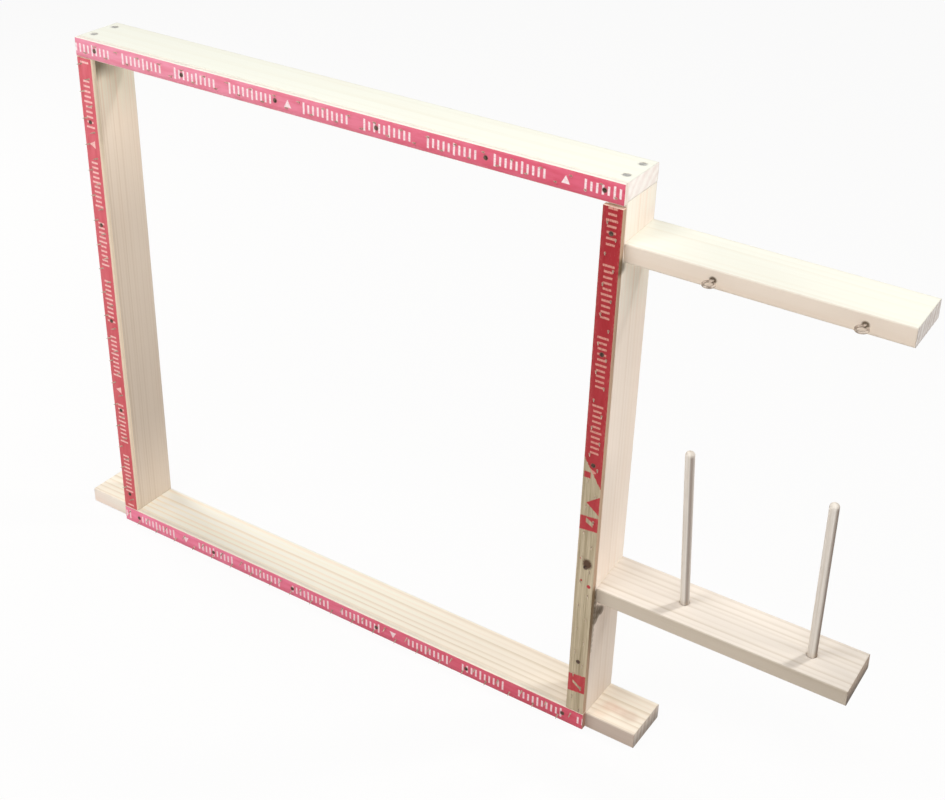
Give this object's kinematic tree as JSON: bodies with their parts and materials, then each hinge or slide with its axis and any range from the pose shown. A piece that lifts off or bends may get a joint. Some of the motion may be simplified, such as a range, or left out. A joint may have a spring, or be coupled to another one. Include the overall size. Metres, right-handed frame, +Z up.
{
  "type": "tufting frame",
  "caption": "Table-top wooden tufting frame with pinned tack strips round an open window, and a side shelf with yarn spindles under an arm with thread eyes.",
  "frame": {"origin": "underside of the base board, midway between the two stiles' outer faces and midway front to back", "axes": "+Z up; +X along the frame towards the yarn shelf and arm; -Y out of the pinned front, towards the person who tufts"},
  "size_m": [1.04, 0.0768, 0.66],
  "materials": {
    "pine": "planed, unfinished",
    "dowel": "sanded, unfinished",
    "strip_ply": "sawn plywood, printed red",
    "nail": "blued steel",
    "screw": "zinc plated",
    "eye": "bright zinc plated"
  },
  "bodies": {
    "frame": {"top_rail": "pine", "base_board": "pine", "left_stile": "pine", "right_stile": "pine", "yarn_arm": "pine", "yarn_shelf": "pine", "top_tack_strip": "strip_ply", "base_tack_strip": "strip_ply", "left_tack_strip": "strip_ply", "right_tack_strip": "strip_ply", "inner_thread_eye": "eye", "outer_thread_eye": "eye", "rail_screw_left_front": "screw", "rail_screw_left_back": "screw", "rail_screw_right_front": "screw", "rail_screw_right_back": "screw", "base_screw_left_front": "screw", "base_screw_left_back": "screw", "base_screw_right_front": "screw", "base_screw_right_back": "screw", "arm_screw_front": "screw", "arm_screw_back": "screw", "shelf_screw_front": "screw", "shelf_screw_back": "screw", "top_nail_1": "nail", "top_nail_2": "nail", "top_nail_3": "nail", "top_nail_4": "nail", "top_nail_5": "nail", "top_nail_6": "nail", "base_nail_1": "nail", "base_nail_2": "nail", "base_nail_3": "nail", "base_nail_4": "nail", "base_nail_5": "nail", "base_nail_6": "nail", "left_nail_1": "nail", "left_nail_2": "nail", "left_nail_3": "nail", "left_nail_4": "nail", "left_nail_5": "nail", "right_nail_1": "nail", "right_nail_2": "nail", "right_nail_3": "nail", "right_nail_4": "nail", "right_nail_5": "nail"},
    "inner_spindle": {"inner_spindle": "dowel"},
    "outer_spindle": {"outer_spindle": "dowel"}
  },
  "joints": [
    {"name": "inner_spindle_lift", "type": "slide", "parent": "frame", "child": "inner_spindle", "axis": [-0.0175, -0.1132, 0.9934], "range_m": [0, 0.03]},
    {"name": "outer_spindle_lift", "type": "slide", "parent": "frame", "child": "outer_spindle", "axis": [0.0157, -0.1132, 0.9934], "range_m": [0, 0.03]}
  ]
}
